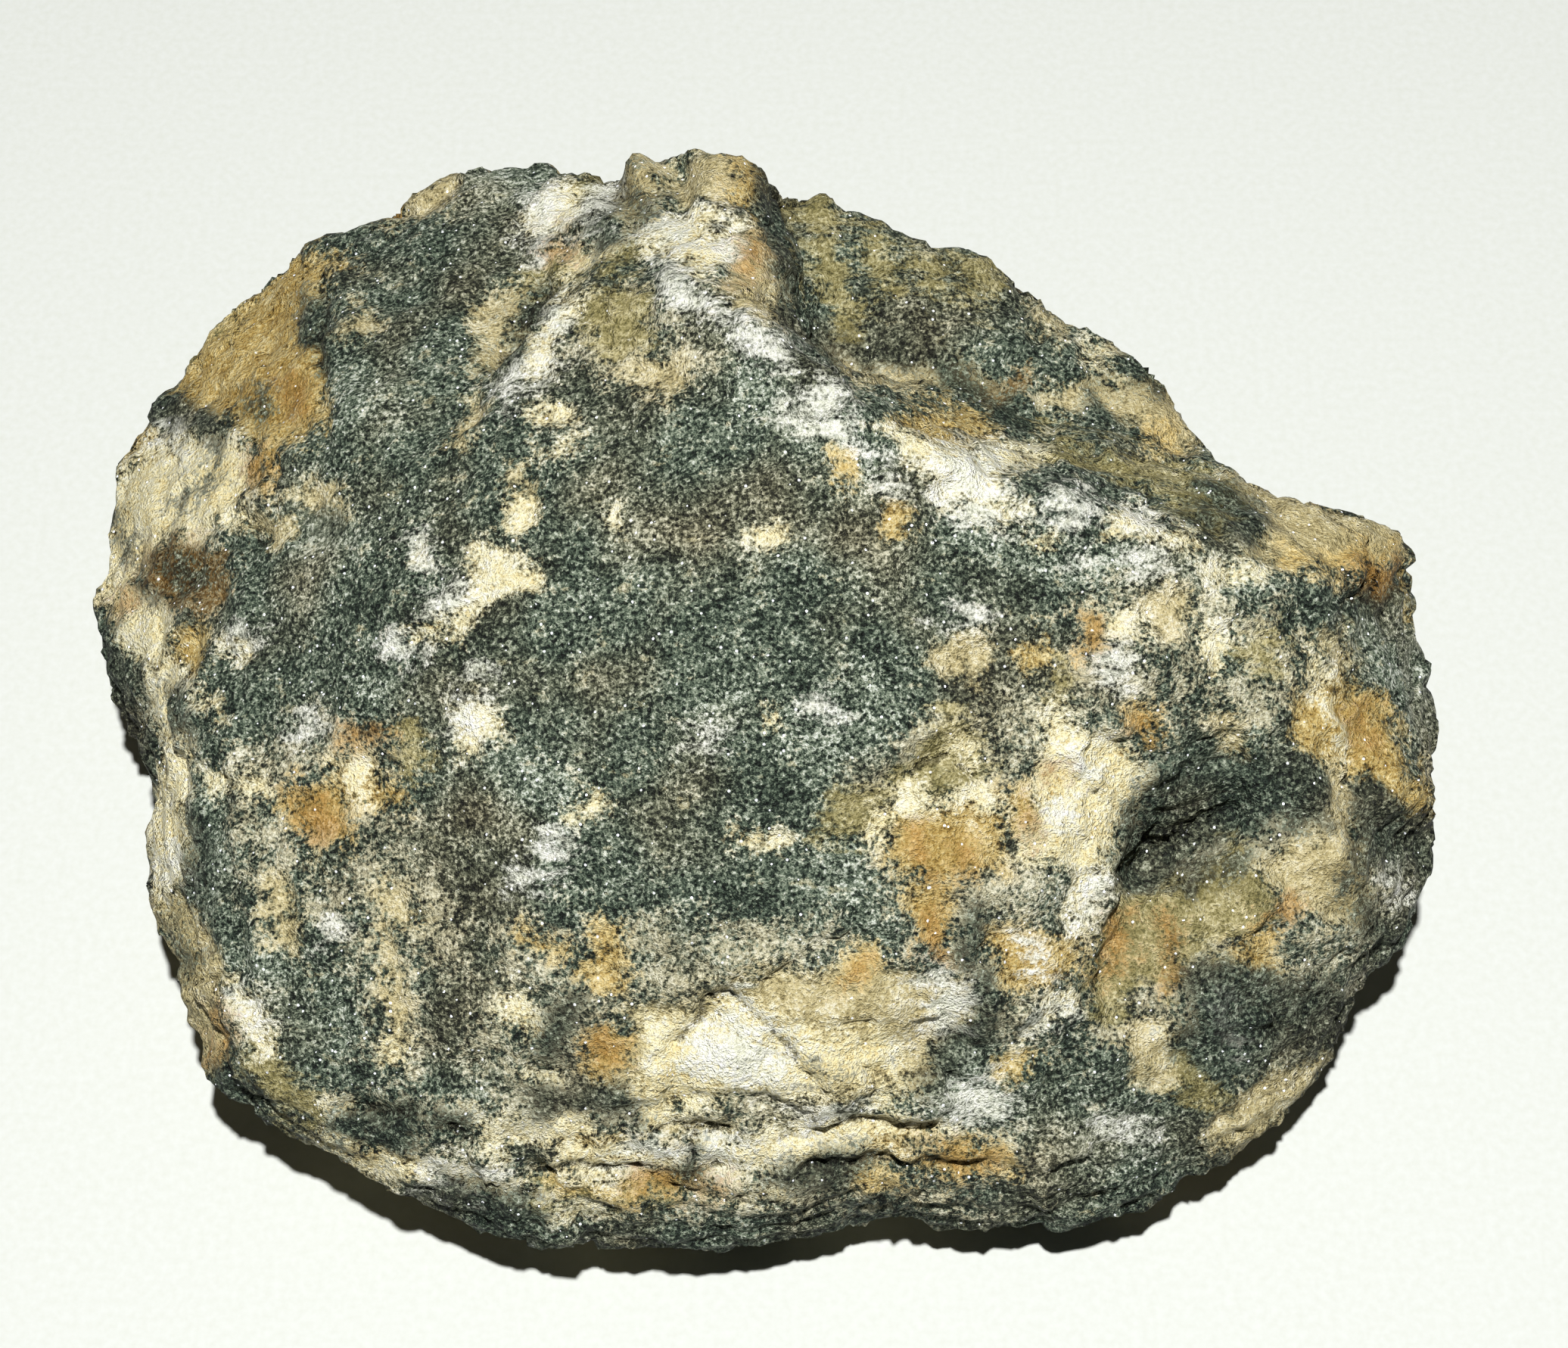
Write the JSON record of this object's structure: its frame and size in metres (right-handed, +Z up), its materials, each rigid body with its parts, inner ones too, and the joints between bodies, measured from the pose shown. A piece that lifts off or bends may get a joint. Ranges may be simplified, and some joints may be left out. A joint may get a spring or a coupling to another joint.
{
  "type": "pyroxenite hand specimen",
  "caption": "Broken hand specimen of dark green pyroxenite with ochre, cream and white patches, resting on a small flat spot.",
  "frame": {"origin": "centre of the stone's bounding box in plan, on the ground that it rests on", "axes": "+Z up, +X along the stone's longest side, +Y from the front of the stone, which slopes down to the viewer, to its back"},
  "size_m": [0.115, 0.0932, 0.05],
  "materials": {
    "stone": "rough, freshly broken dark green grains with ochre, cream and white weathered patches and small bright glints"
  },
  "bodies": {
    "root": {"pyroxenite": "stone"}
  },
  "joints": []
}
